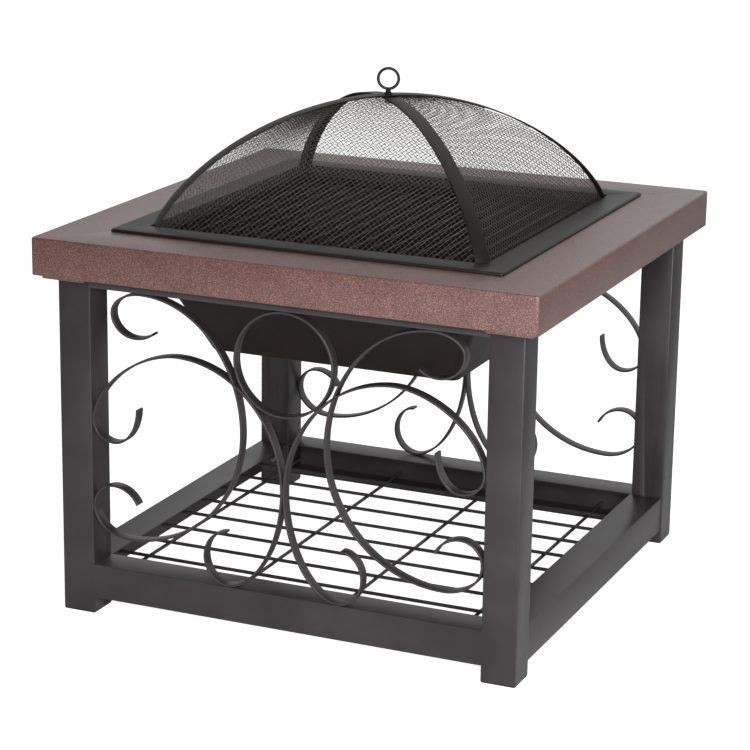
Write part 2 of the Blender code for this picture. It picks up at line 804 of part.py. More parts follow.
def make_fuel_grate(material):
    """Square bars on two cross bars with four short feet that stand on the bowl's floor."""
    floor = BOWL_UNDERSIDE + BOWL_WALL
    cross_low = floor + FUEL_GRATE_LIFT
    half = bowl_inside_half(cross_low) - FUEL_WALL_CLEARANCE
    bar_low = cross_low + FUEL_BAR - GRATE_WELD_SINK
    cross_place = half * FUEL_CROSS_SHARE
    crosses = []
    for number, sign in enumerate((-1, 1)):
        y = sign * cross_place
        crosses.append(
            bar(
                f"fuel_cross_{number}",
                (-half, y - FUEL_BAR / 2, cross_low),
                (half, y + FUEL_BAR / 2, cross_low + FUEL_BAR),
                material,
            )
        )
    pitch = 2 * (half - FUEL_SIDE_MARGIN) / (FUEL_BARS - 1)
    bars = []
    for number in range(FUEL_BARS):
        x = (number - (FUEL_BARS - 1) / 2) * pitch
        bars.append(
            bar(
                f"fuel_bar_{number}",
                (x - FUEL_BAR / 2, -half, bar_low),
                (x + FUEL_BAR / 2, half, bar_low + FUEL_BAR),
                material,
            )
        )
    feet = []
    foot_place = PAN_HALF - BOWL_WALL - BOWL_CORNER - FUEL_BAR
    for number, (x_sign, y_sign) in enumerate(((-1, -1), (1, -1), (1, 1), (-1, 1))):
        x = x_sign * foot_place
        y = y_sign * cross_place
        feet.append(
            bar(
                f"fuel_foot_{number}",
                (x - FUEL_BAR / 2, y - FUEL_BAR / 2, floor + GAP),
                (x + FUEL_BAR / 2, y + FUEL_BAR / 2, cross_low + FUEL_BAR / 2),
                material,
            )
        )
    grate = bars[0]
    grate.name = "fuel_grate"
    boolean(grate, "UNION", crosses)
    boolean_more(grate, bars[1:] + feet)


def make_cooking_grate(material):
    """Round rods welded over a square of heavier wire that lies on the bowl's seat."""
    outer = HOOP_HALF - HOOP_WALL - HOOP_CLEARANCE
    low = SEAT_TOP + GAP
    high = low + GRATE_RAIL
    loops = [
        square_loop(outer, low, GRATE_RAIL / 2),
        square_loop(outer, high, GRATE_RAIL / 2),
        square_loop(outer - GRATE_RAIL, high, GRATE_RAIL / 3),
        square_loop(outer - GRATE_RAIL, low, GRATE_RAIL / 3),
    ]
    grate = add_object("cooking_grate", *loft(loops, ring=True), material, 40)
    rod_low = high - GRATE_WELD_SINK
    reach = outer - GRATE_RAIL / 4
    pitch = 2 * (outer - GRATE_SIDE_MARGIN) / (GRATE_RODS - 1)
    rods = []
    for number in range(GRATE_RODS):
        x = (number - (GRATE_RODS - 1) / 2) * pitch
        rods.append(
            bar(
                f"grate_rod_{number}",
                (x - GRATE_ROD / 2, -reach, rod_low),
                (x + GRATE_ROD / 2, reach, rod_low + GRATE_ROD),
                material,
            )
        )
    boolean(grate, "UNION", rods)


# ---------------------------------------------------------------- spark screen


def arch_line(raise_top, inset, steps=ARCH_STEPS):
    """Run from the centre and height along the arch, moved inwards by inset along its normal.

    raise_top lifts the crown only, for the strap that crosses over the other.
    """
    run = math.sqrt(2) * (HOOP_HALF - ARCH_SET_IN)
    line = []
    for step in range(steps + 1):
        turn = math.pi / 2 * step / steps
        lift = raise_top * math.cos(turn) ** 2
        line.append(
            (
                run * math.sin(turn) ** (2 / ARCH_RUN_POWER),
                ARCH_FOOT + ARCH_RISE * math.cos(turn) ** (2 / ARCH_RISE_POWER) + lift,
            )
        )
    line = np.array(line)
    mirrored = np.array([(-line[1][0], line[1][1]), *line])
    normals = normals_of(mirrored)[1:]
    normals[0] = (0.0, 1.0)
    normals[-1] = (1.0, 0.0)
    moved = line - inset * normals
    moved[-1][1] = ARCH_FOOT
    return moved


def make_strap(name, raise_top, turn, material):
    """One flat strap from corner to corner, its feet mitred to the hoop, drilled for the ring's stem."""
    outer = arch_line(raise_top, 0.0)
    inner = arch_line(raise_top, STRAP_THICKNESS)
    outer = np.concatenate([(outer * (-1, 1))[:0:-1], outer])
    inner = np.concatenate([(inner * (-1, 1))[:0:-1], inner])
    along = np.array((math.cos(turn), math.sin(turn)))
    sideways = np.array((-math.sin(turn), math.cos(turn)))
    loops = []
    for (out_run, out_z), (in_run, in_z) in zip(outer, inner):
        across = sideways * min(STRAP_WIDTH / 2, math.sqrt(2) * HOOP_HALF - abs(out_run))
        corners = (
            (out_run * along + across, out_z),
            (in_run * along + across, in_z),
            (in_run * along - across, in_z),
            (out_run * along - across, out_z),
        )
        loops.append([(place[0], place[1], z) for place, z in corners])
    strap = add_object(name, *loft(loops), material, 35)
    top = ARCH_TOP + raise_top
    hole = cylinder(
        f"{name}_hole",
        (0, 0),
        STEM_HOLE / 2,
        top - RING_DIAMETER / 2,
        top + RING_DIAMETER / 2,
        STRAP_HOLE_SIDES,
        material,
    )
    boolean(strap, "DIFFERENCE", [hole])


def make_mesh_panel(name, quarter_turn, material):
    """One curved side of the dome, between two straps and under them."""
    outer = arch_line(0.0, STRAP_THICKNESS + GAP)
    inner = arch_line(0.0, STRAP_THICKNESS + GAP + MESH_THICKNESS)
    side = math.pi / 2 * quarter_turn
    along = np.array((math.cos(side), math.sin(side)))
    across = np.array((-math.sin(side), math.cos(side)))
    loops = []
    for (out_run, out_z), (in_run, in_z) in zip(outer, inner):
        out_x = out_run / math.sqrt(2)
        in_x = in_run / math.sqrt(2)
        if in_x < MESH_START:
            continue
        half = in_x - MESH_EDGE_GAP
        corners = (
            (out_x * along + half * across, out_z),
            (in_x * along + half * across, in_z),
            (in_x * along - half * across, in_z),
            (out_x * along - half * across, out_z),
        )
        loops.append([(place[0], place[1], z) for place, z in corners])
    add_object(name, *loft(loops), material, 35)


def make_screen(materials):
    outer = HOOP_HALF
    inner = HOOP_HALF - HOOP_WALL
    ledge = HOOP_HALF - HOOP_FLANGE
    low = SEAT_TOP + GAP
    loops = [
        square_loop(outer, low, HOOP_WALL),
        square_loop(outer, HOOP_TOP, HOOP_WALL),
        square_loop(ledge, HOOP_TOP, HOOP_WALL / 3),
        square_loop(ledge, HOOP_TOP - HOOP_WALL, HOOP_WALL / 3),
        square_loop(inner, HOOP_TOP - HOOP_WALL, HOOP_WALL / 3),
        square_loop(inner, low, HOOP_WALL / 3),
    ]
    add_object("screen_hoop", *loft(loops, ring=True), materials["frame"], 40)
    make_strap("screen_strap_lower", 0.0, -math.pi / 4, materials["frame"])
    make_strap("screen_strap_upper", STRAP_LIFT, math.pi / 4, materials["frame"])
    for number, name in enumerate(("right", "back", "left", "front")):
        make_mesh_panel(f"screen_mesh_{name}", number, materials["mesh"])


def make_lift_ring(materials):
    """An eye bolt through both straps, with a washer on top and a hexagon nut below."""
    crown = ARCH_TOP + STRAP_LIFT
    washer_top = crown + GAP + WASHER_THICKNESS
    washer = [
        circle_loop((0, 0), STEM_HOLE / 2, crown + GAP, STRAP_HOLE_SIDES),
        circle_loop((0, 0), WASHER_DIAMETER / 2, crown + GAP, STRAP_HOLE_SIDES),
        circle_loop((0, 0), WASHER_DIAMETER / 2, washer_top, STRAP_HOLE_SIDES),
        circle_loop((0, 0), STEM_HOLE / 2, washer_top, STRAP_HOLE_SIDES),
    ]
    add_object("ring_washer", *loft(washer, ring=True), materials["frame"], 40)
    nut_top = ARCH_TOP - STRAP_THICKNESS - GAP - MESH_THICKNESS
    nut_low = nut_top - NUT_HEIGHT
    across_corners = NUT_WIDTH / math.cos(math.pi / 6)
    hexagon = [
        hexagon_loop(across_corners / 2, nut_low, HEXAGON_STEPS),
        hexagon_loop(across_corners / 2, nut_top, HEXAGON_STEPS),
        circle_loop((0, 0), STEM_HOLE / 2, nut_top, HEXAGON_STEPS),
        circle_loop((0, 0), STEM_HOLE / 2, nut_low, HEXAGON_STEPS),
    ]
    add_object("ring_nut", *loft(hexagon, ring=True), materials["zinc"], 30)
    wire = RING_WIRE / 2
    major = RING_DIAMETER / 2 - wire
    centre_z = washer_top + RING_LIFT + RING_DIAMETER / 2
    face = math.radians(RING_FACE_TURN)
    sideways = np.array((math.cos(face), math.sin(face), 0.0))
    upward = np.array((0.0, 0.0, 1.0))
    forward = np.cross(sideways, upward)
    loops = []
    for step in range(32):
        turn = 2 * math.pi * step / 32
        outward = math.cos(turn) * sideways + math.sin(turn) * upward
        middle = np.array((0.0, 0.0, centre_z)) + major * outward
        loops.append(
            [
                middle + wire * (math.cos(t) * outward + math.sin(t) * forward)
                for t in (2 * math.pi * part / 8 for part in range(8))
            ]
        )
    ring = add_object("lift_ring", *loft(loops, ring=True), materials["frame"], 60)
    stem_top = centre_z - RING_DIAMETER / 2 + RING_WIRE / 2
    collar = [
        circle_loop((0, 0), RING_STEM / 2, nut_low - STEM_BELOW_NUT, HOLE_SIDES),
        circle_loop((0, 0), RING_STEM / 2, washer_top + GAP, HOLE_SIDES),
        circle_loop((0, 0), COLLAR_DIAMETER / 2, washer_top + GAP, HOLE_SIDES),
        circle_loop((0, 0), COLLAR_TOP_DIAMETER / 2, stem_top, HOLE_SIDES),
    ]
    stem = add_object("lift_ring_stem", *loft(collar), materials["frame"], 40)
    boolean(ring, "UNION", [stem])


def hexagon_loop(reach, z, count):
    """Points round a hexagon, evenly shared over its sides."""
    per_side = count // 6
    corners = [
        np.array((math.cos(math.pi / 3 * k), math.sin(math.pi / 3 * k))) * reach
        for k in range(7)
    ]
    points = []
    for a, b in zip(corners[:-1], corners[1:]):
        for step in range(per_side):
            place = a + (b - a) * step / per_side
            points.append((place[0], place[1], z))
    return points


# ---------------------------------------------------------------- assembly


def main():
    clear_scene()
    materials = {
        "frame": finish("dark powder coat", (0.055, 0.048, 0.046), 0.42, 0.55),
        "bronze": finish("hammered bronze enamel", (0.130, 0.070, 0.062), 0.45, 0.60),
        "plug": finish("black plug", (0.02, 0.02, 0.02), 0.6, 0.0),
        "bowl": finish("high-heat black enamel", (0.035, 0.031, 0.030), 0.5, 0.4),
        "grate": finish("black grate wire", (0.030, 0.028, 0.027), 0.5, 0.6),
        "mesh": finish("black screen mesh", (0.09, 0.09, 0.09), 0.5, 0.6),
        "zinc": finish("zinc-plated steel", (0.45, 0.45, 0.44), 0.35, 1.0),
    }
    for end, back_sign in ENDS:
        for side, sign in SIDES:
            centre = (sign * LEG_CENTRE, back_sign * LEG_CENTRE)
            make_leg(f"leg_{end}_{side}", centre, back_sign, materials["frame"])
            make_plug(f"foot_plug_{end}_{side}", centre, materials["plug"])
            make_corner(end, back_sign, side, sign, materials)
    make_end_rails(materials)
    make_side_rails(materials)
    make_table_top(materials["bronze"])
    make_shelf_rack(materials["frame"])
    make_scrolls(materials["frame"])
    make_bowl(materials["bowl"])
    make_fuel_grate(materials["grate"])
    make_cooking_grate(materials["grate"])
    make_screen(materials)
    make_lift_ring(materials)


main()
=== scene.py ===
"""A square steel fire table with scrollwork sides, a wire rack, a drop-in bowl, a cooking grate and a
domed spark screen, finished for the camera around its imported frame."""

import math

import bmesh
import bpy
import numpy as np
from mathutils import Matrix, Vector


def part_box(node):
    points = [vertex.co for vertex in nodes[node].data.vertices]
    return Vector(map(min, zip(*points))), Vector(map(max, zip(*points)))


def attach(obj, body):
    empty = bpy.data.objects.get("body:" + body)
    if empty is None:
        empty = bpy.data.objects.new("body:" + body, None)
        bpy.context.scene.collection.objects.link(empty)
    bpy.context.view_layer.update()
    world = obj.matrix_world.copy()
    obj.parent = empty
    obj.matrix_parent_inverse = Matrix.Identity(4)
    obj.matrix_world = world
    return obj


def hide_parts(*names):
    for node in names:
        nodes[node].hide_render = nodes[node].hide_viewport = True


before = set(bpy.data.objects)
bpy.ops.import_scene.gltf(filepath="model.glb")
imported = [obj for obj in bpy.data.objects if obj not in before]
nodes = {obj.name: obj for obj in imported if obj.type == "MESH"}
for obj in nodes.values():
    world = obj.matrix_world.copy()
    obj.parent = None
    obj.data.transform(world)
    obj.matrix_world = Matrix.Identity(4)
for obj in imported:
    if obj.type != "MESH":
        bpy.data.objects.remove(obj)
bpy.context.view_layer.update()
scene = bpy.context.scene

# ---------------------------------------------------------------- camera
# A long lens from the front and a little to the right, at eye height for a seated person.

camera = bpy.data.objects.new("camera", bpy.data.cameras.new("camera"))
camera.data.lens = 122.628
camera.data.sensor_width = 36
camera.data.clip_end = 50
camera_right = Vector((0.91598272, 0.40096167, 0.01433182))
camera_up = Vector((-0.1217859, 0.24382513, 0.96214214))
camera_back = Vector((0.38228766, -0.88305099, 0.27217109))
turn = Matrix((camera_right, camera_up, camera_back)).transposed().to_4x4()
camera_place = (1.3626, -3.1786, 1.2680)
camera.matrix_world = Matrix.Translation(camera_place) @ turn
scene.collection.objects.link(camera)
scene.camera = camera
scene.view_settings.view_transform = "Standard"

# ---------------------------------------------------------------- studio
# A white sweep under two soft boxes: a broad one in front and one behind that draws a sheen over the
# flat top. The room is white behind the piece and dim on the near side.


def paint(code):
    """The linear colour of an sRGB hex code."""
    parts = [int(code[place : place + 2], 16) / 255 for place in (1, 3, 5)]
    linear = [c / 12.92 if c <= 0.04045 else ((c + 0.055) / 1.055) ** 2.4 for c in parts]
    return (*linear, 1.0)


def add(tree, kind, links=(), values=(), **settings):
    """A node of this kind, with its settings, its links as (input, output socket) and its values."""
    made = tree.nodes.new(kind)
    for name, value in settings.items():
        setattr(made, name, value)
    for socket, value in values:
        made.inputs[socket].default_value = value
    for socket, source in links:
        tree.links.new(made.inputs[socket], source)
    return made


def new_material(name):
    """A material with an empty node tree but for its Principled shader and output."""
    material = bpy.data.materials.new(name)
    material.use_nodes = True
    tree = material.node_tree
    return material, tree, tree.nodes["Principled BSDF"]


def soft_box(name, place, aim, width, height, power):
    """A white rectangular lamp turned to its aim."""
    light = bpy.data.lights.new(name, "AREA")
    light.shape = "RECTANGLE"
    light.size = width
    light.size_y = height
    light.energy = power
    lamp = bpy.data.objects.new(name, light)
    lamp.location = place
    lamp.rotation_euler = (Vector(aim) - Vector(place)).to_track_quat("-Z", "Y").to_euler()
    scene.collection.objects.link(lamp)


middle = (0.0, 0.0, 0.35)
soft_box("key_box", (1.3, -2.5, 1.2), middle, 1.1, 1.1, 98)
soft_box("top_strip", (0.3, 0.9, 2.6), middle, 2.2, 1.2, 6)

world = bpy.data.worlds.new("studio")
world.use_nodes = True
world_tree = world.node_tree
scene.world = world
outlook = add(world_tree, "ShaderNodeSeparateXYZ")
world_tree.links.new(
    outlook.inputs[0], add(world_tree, "ShaderNodeTexCoord").outputs["Generated"]
)
room = add(
    world_tree,
    "ShaderNodeMapRange",
    interpolation_type="SMOOTHSTEP",
    links=(("Value", outlook.outputs["Y"]),),
    values=(("From Min", -0.2), ("From Max", 0.8), ("To Min", 0.09), ("To Max", 0.80)),
)
world_tree.links.new(world_tree.nodes["Background"].inputs["Strength"], room.outputs["Result"])
seen = add(world_tree, "ShaderNodeBackground", values=(("Strength", 1.0),))
world_tree.nodes["Background"].inputs["Color"].default_value = (1, 1, 1, 1)
seen.inputs["Color"].default_value = (1, 1, 1, 1)
mixed = add(
    world_tree,
    "ShaderNodeMixShader",
    links=(
        (0, add(world_tree, "ShaderNodeLightPath").outputs["Is Camera Ray"]),
        (1, world_tree.nodes["Background"].outputs[0]),
        (2, seen.outputs[0]),
    ),
)
world_tree.links.new(world_tree.nodes["World Output"].inputs[0], mixed.outputs[0])

sweep, tree, shader = new_material("white paper sweep")
shader.inputs["Base Color"].default_value = paint("#f0f0f0")
shader.inputs["Roughness"].default_value = 0.9
shader.inputs["Emission Color"].default_value = (1, 1, 1, 1)
glow = add(
    tree,
    "ShaderNodeMath",
    operation="MULTIPLY",
    links=((0, add(tree, "ShaderNodeLightPath").outputs["Is Camera Ray"]),),
    values=((1, 0.8),),
)
tree.links.new(shader.inputs["Emission Strength"], glow.outputs[0])
bpy.ops.mesh.primitive_plane_add(size=60, location=(0, 0, -0.0006))
floor = bpy.context.object
floor.name = "floor"
floor.data.transform(floor.matrix_world)
floor.matrix_world = Matrix.Identity(4)
floor.data.materials.append(sweep)

# ---------------------------------------------------------------- dark frame finish
# Legs, rails, scrolls and rack are mild steel under a satin powder coat, dark charcoal brown.
# Baked powder flows into a fine orange peel a millimetre or so across, and thins on the edges.


def surface(tree, scale_mm, detail=2.0, rough=0.5):
    """A noise whose lumps are scale_mm across, on the piece's own metres."""
    place = add(tree, "ShaderNodeTexCoord").outputs["Object"]
    return add(
        tree,
        "ShaderNodeTexNoise",
        links=(("Vector", place),),
        values=(("Scale", 1000 / scale_mm), ("Detail", detail), ("Roughness", rough)),
    )


def ramp(tree, source, stops):
    """A colour ramp through (place, colour code) pairs."""
    made = add(tree, "ShaderNodeValToRGB", links=(("Fac", source),))
    made.color_ramp.elements[0].position = stops[0][0]
    made.color_ramp.elements[0].color = paint(stops[0][1])
    made.color_ramp.elements[1].position = stops[-1][0]
    made.color_ramp.elements[1].color = paint(stops[-1][1])
    for place, code in stops[1:-1]:
        made.color_ramp.elements.new(place).color = paint(code)
    return made.outputs["Color"]


def roughened(tree, shader, source, low, high):
    """Roughness that runs between two values with the source."""
    spread = add(
        tree,
        "ShaderNodeMapRange",
        links=(("Value", source),),
        values=(("To Min", low), ("To Max", high)),
    )
    tree.links.new(shader.inputs["Roughness"], spread.outputs["Result"])


def bumped(tree, shader, source, height_mm, strength=1.0):
    """Fine relief of this height from the source."""
    bump = add(
        tree,
        "ShaderNodeBump",
        links=(("Height", source),),
        values=(("Strength", strength), ("Distance", height_mm / 1000)),
    )
    tree.links.new(shader.inputs["Normal"], bump.outputs["Normal"])


powder, tree, shader = new_material("satin charcoal powder coat")
peel = surface(tree, 1.6, 1.0)
cloud = surface(tree, 60, 3.0)
colour = ramp(tree, cloud.outputs["Fac"], ((0.3, "#2a2627"), (0.7, "#363032")))
tree.links.new(shader.inputs["Base Color"], colour)
roughened(tree, shader, cloud.outputs["Fac"], 0.34, 0.46)
bumped(tree, shader, peel.outputs["Fac"], 0.05, 0.5)

# ---------------------------------------------------------------- legs, rails and brackets
# Square tubes and folded angles keep the CAD solids, with the corners eased as a tube mill and a
# press brake leave them. The rails are welded between the legs; the side rails are bolted on.


def merged(node, name):
    """A copy of a CAD node as one closed mesh of flat faces."""
    shape = bmesh.new()
    shape.from_mesh(nodes[node].data)
    bmesh.ops.remove_doubles(shape, verts=shape.verts, dist=1e-6)
    flat = math.radians(0.5)
    bmesh.ops.dissolve_limit(shape, angle_limit=flat, verts=shape.verts, edges=shape.edges)
    mesh = bpy.data.meshes.new(name)
    shape.to_mesh(mesh)
    shape.free()
    piece = bpy.data.objects.new(name, mesh)
    scene.collection.objects.link(piece)
    return piece


def baked(piece):
    """The piece with its modifiers turned into plain mesh."""
    graph = bpy.context.evaluated_depsgraph_get()
    mesh = bpy.data.meshes.new_from_object(piece.evaluated_get(graph))
    piece.modifiers.clear()
    piece.data = mesh
    mesh.name = piece.name
    return piece


def eased(node, radius, material, body="table", segments=2, weld=0.0):
    """A CAD node with its edges rounded to the radius, in its finish, riding on its body.

    With weld set, its two X ends stay square and run on by that much, as a joint filled and ground flush.
    """
    piece = merged(node, f"{node}_finished")
    shape = bmesh.new()
    shape.from_mesh(piece.data)
    stops = [min(v.co.x for v in shape.verts), max(v.co.x for v in shape.verts)]
    weight = shape.edges.layers.float.new("bevel_weight_edge")
    for edge in shape.edges:
        square = weld and any(all(abs(v.co.x - x) < 1e-5 for v in edge.verts) for x in stops)
        edge[weight] = 0 if square or edge.calc_face_angle(0) < math.radians(30) else 1
        edge.smooth = not square
    for vert in shape.verts:
        for x in stops if weld else ():
            if abs(vert.co.x - x) < 1e-5:
                vert.co.x += math.copysign(weld, x)
    shape.to_mesh(piece.data)
    shape.free()
    for face in piece.data.polygons:
        face.use_smooth = True
    if radius:
        bevel = piece.modifiers.new("eased edges", "BEVEL")
        bevel.width = radius
        bevel.segments = segments
        bevel.limit_method = "WEIGHT"
        bevel.harden_normals = True
        baked(piece)
    piece.data.materials.clear()
    piece.data.materials.append(material)
    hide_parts(node)
    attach(piece, body)
    return piece


FILLED = 0.0020
corners = [(end, side) for end in ("front", "back") for side in ("left", "right")]
for end, side in corners:
    eased(f"leg_{end}_{side}", 0.0004, powder)
for end in ("front", "back"):
    eased(f"bottom_rail_{end}", 0.0006, powder, weld=FILLED)
    eased(f"top_rail_{end}", 0.0006, powder, weld=FILLED)
for side in ("left", "right"):
    eased(f"side_rail_{side}", 0.0009, powder)

# ---------------------------------------------------------------- foot plugs and fasteners
# Ribbed polyethylene plugs close the tubes, and zinc-plated hexagon bolts hold the knock-down joints.

plug, tree, shader = new_material("moulded black polyethylene")
shader.inputs["Roughness"].default_value = 0.55
grain = surface(tree, 0.8, 2.0)
tree.links.new(
    shader.inputs["Base Color"], ramp(tree, grain.outputs["Fac"], ((0.3, "#151414"), (0.7, "#1d1c1c")))
)
bumped(tree, shader, grain.outputs["Fac"], 0.03, 0.5)

zinc, tree, shader = new_material("zinc-plated steel")
shader.inputs["Metallic"].default_value = 1.0
spangle = surface(tree, 2.5, 2.0)
tree.links.new(
    shader.inputs["Base Color"], ramp(tree, spangle.outputs["Fac"], ((0.3, "#8d8c88"), (0.7, "#a9a8a4")))
)
roughened(tree, shader, spangle.outputs["Fac"], 0.25, 0.42)

for end, side in corners:
    eased(f"foot_plug_{end}_{side}", 0.0003, plug)
    eased(f"table_bolt_{end}_{side}", 0.0003, zinc)
    eased(f"rail_bolt_{end}_{side}", 0.0003, zinc)

# ---------------------------------------------------------------- tray top
# The folded tray and its corner brackets wear a bronze hammered enamel: a dark base with metallic
# flake that floats into grains about a millimetre across, glossy over a slightly pebbled skin.

enamel, tree, shader = new_material("hammered bronze enamel")
flake = surface(tree, 1.1, 3.0, 0.65)
patch = surface(tree, 35, 2.0)
grain_colour = ramp(
    tree,
    flake.outputs["Fac"],
    ((0.32, "#2e1e1c"), (0.50, "#573934"), (0.68, "#a87a72")),
)
tone = ramp(tree, patch.outputs["Fac"], ((0.3, "#ebe6e6"), (0.7, "#ffffff")))
blended = add(
    tree,
    "ShaderNodeMix",
    data_type="RGBA",
    blend_type="MULTIPLY",
    links=((6, grain_colour), (7, tone)),
    values=((0, 1.0),),
)
tree.links.new(shader.inputs["Base Color"], blended.outputs[2])
shader.inputs["Metallic"].default_value = 0.15
shader.inputs["Coat Weight"].default_value = 0.6
shader.inputs["Coat Roughness"].default_value = 0.36
roughened(tree, shader, flake.outputs["Fac"], 0.40, 0.55)
bumped(tree, shader, flake.outputs["Fac"], 0.08, 0.5)

eased("table_top", 0.0009, enamel, segments=3)
for end, side in corners:
    eased(f"corner_bracket_{end}_{side}", 0.0005, enamel)

# ---------------------------------------------------------------- scroll panels
# Each frame's panel is flat bar, 16 by 3 mm, bent cold over a jig and tacked to the legs, the rails
# and its neighbours. Two tall C scrolls and two long wave scrolls flank a closed ring.

TOUCH = 0.0003
BAR = 0.003
leg_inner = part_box("leg_front_right")[0].x
rail_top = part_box("bottom_rail_front")[1].z
bar_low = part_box("top_rail_front")[0].z
ring_low, ring_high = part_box("centre_ring_front")


def panel_point(u, v):
    """Centre line of a bar: u runs from the panel's middle to the leg, v from rail to top bar."""
    edge = BAR / 2 + TOUCH
    inner = BAR / 2 + TOUCH / 2
    x = inner + u * (leg_inner - edge - inner)
    low = rail_top + edge
    return np.array((x, low + v * (bar_low - edge - low)))


def quarter(start, end, upright_first, power=2.0, begin=0.0, stop=1.0, steps=16):
    """A quarter of an oval that leaves its start upright, or level, and ends the other way."""
    points = []
    for step in range(steps + 1):
        angle = math.pi / 2 * (begin + (stop - begin) * step / steps)
        rise = math.sin(angle) ** (2 / power)
        run = 1 - math.cos(angle) ** (2 / power)
        share = (run, rise) if upright_first else (rise, run)
        points.append(start + (end - start) * np.array(share))
    return points


def chain(*arcs):
    """One line through arcs that follow each other."""
    return arcs[0] + [point for arc in arcs[1:] for point in arc[1:]]


def c_scroll_line():
    """From the tight curl by the leg over the top, round the belly and in to the curl at the foot."""
    curl_side = panel_point(0.892, 0.926)
    curl_low = panel_point(0.767, 0.843)
    top = panel_point(0.735, 1.0)
    waist = panel_point(0.209, 0.552)
    bottom = panel_point(0.812, 0.109)
    leg = panel_point(1.0, 0.217)
    foot_top = panel_point(0.892, 0.298)
    return chain(
        quarter(panel_point(0.652, 0.900), curl_low, True, begin=0.40),
        quarter(curl_low, curl_side, False),
        quarter(curl_side, top, True),
        quarter(top, waist, False, steps=30),
        quarter(waist, bottom, True, steps=30),
        quarter(bottom, leg, False),
        quarter(leg, foot_top, True),
        quarter(foot_top, panel_point(0.752, 0.196), False, stop=0.72),
    )


def wave_scroll_line():
    """From the curl by the leg over the shoulder, down past its twin and in to the hook on the rail."""
    curl_low = panel_point(0.888, 0.457)
    leg = panel_point(1.0, 0.530)
    shoulder = panel_point(0.550, 0.796)
    twin = panel_point(0.0, 0.366)
    rail = panel_point(0.281, 0.0)
    hook_side = panel_point(0.403, 0.097)
    return chain(
        quarter(panel_point(0.762, 0.588), curl_low, True),
        quarter(curl_low, leg, False),
        quarter(leg, shoulder, True, power=1.75, steps=24),
        quarter(shoulder, twin, False, steps=40),
        quarter(twin, rail, True, power=1.88, steps=24),
        quarter(rail, hook_side, False),
        quarter(hook_side, panel_point(0.296, 0.190), True),
    )


def tree_inputs(tree, **inputs):
    """Named size inputs on a geometry tree, and its Group Input node."""
    tree.interface.new_socket("Geometry", in_out="INPUT", socket_type="NodeSocketGeometry")
    tree.interface.new_socket("Geometry", in_out="OUTPUT", socket_type="NodeSocketGeometry")
    for name, kind in inputs.items():
        tree.interface.new_socket(
            name.replace("_", " "), in_out="INPUT", socket_type=f"NodeSocket{kind}"
        )
    return tree.nodes.new("NodeGroupInput")


def tree_end(tree, source):
    """Realised geometry in the tree's material, sent to its output."""
    given = next(n for n in tree.nodes if n.type == "GROUP_INPUT")
    real = add(tree, "GeometryNodeRealizeInstances", links=((0, source),))
    dressed = add(
        tree,
        "GeometryNodeSetMaterial",
        links=((0, real.outputs[0]), ("Material", given.outputs["Material"])),
    )
    out = tree.nodes.new("NodeGroupOutput")
    tree.links.new(out.inputs[0], dressed.outputs[0])


def grown(name, data, tree, body, slot, material, sharp=40, **values):
    """A piece grown by a geometry tree from its starting data, as plain mesh on its body."""
    piece = bpy.data.objects.new(name, data)
    scene.collection.objects.link(piece)
    grow = piece.modifiers.new("grow", "NODES")
    grow.node_group = tree
    values["Material"] = material
    for item in tree.interface.items_tree:
        key = item.name.replace(" ", "_")
        if key in values:
            grow[item.identifier] = values[key]
    graph = bpy.context.evaluated_depsgraph_get()
    mesh = bpy.data.meshes.new_from_object(piece.evaluated_get(graph))
    bpy.data.objects.remove(piece)
    made = bpy.data.objects.new(name, mesh)
    scene.collection.objects.link(made)
    shape = bmesh.new()
    shape.from_mesh(mesh)
    bmesh.ops.recalc_face_normals(shape, faces=shape.faces)
    shape.to_mesh(mesh)
    shape.free()
    mesh.shade_smooth()
    mesh.set_sharp_from_angle(angle=math.radians(sharp))
    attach(made, body)
    return made


def path_curve(name, points, closed=False):
    """A curve of one straight-segment spline through the points."""
    curve = bpy.data.curves.new(name, "CURVE")
    curve.dimensions = "3D"
    spline = curve.splines.new("POLY")
    spline.points.add(len(points) - 1)
    for place, point in zip(spline.points, points):
        place.co = (*point, 1.0)
    spline.use_cyclic_u = closed
    return curve


def flat_bar_tree():
    """Bar of a rounded rectangular section, swept along a curve with its broad way along Across."""
    tree = bpy.data.node_groups.new("bent flat bar", "GeometryNodeTree")
    given = tree_inputs(
        tree, Width="Float", Thickness="Float", Edge="Float", Across="Vector", Material="Material"
    )
    section = add(
        tree,
        "GeometryNodeCurvePrimitiveQuadrilateral",
        links=(("Width", given.outputs["Width"]), ("Height", given.outputs["Thickness"])),
    )
    rounded = add(
        tree,
        "GeometryNodeFilletCurve",
        links=(("Curve", section.outputs[0]), ("Radius", given.outputs["Edge"])),
        values=(("Count", 3),),
        mode="POLY",
    )
    turned = add(
        tree,
        "GeometryNodeSetCurveNormal",
        links=((0, given.outputs["Geometry"]), ("Normal", given.outputs["Across"])),
        mode="FREE",
    )
    swept = add(
        tree,
        "GeometryNodeCurveToMesh",
        links=((0, turned.outputs[0]), (1, rounded.outputs[0])),
        values=(("Fill Caps", True),),
    )
    tree_end(tree, swept.outputs[0])
    return tree


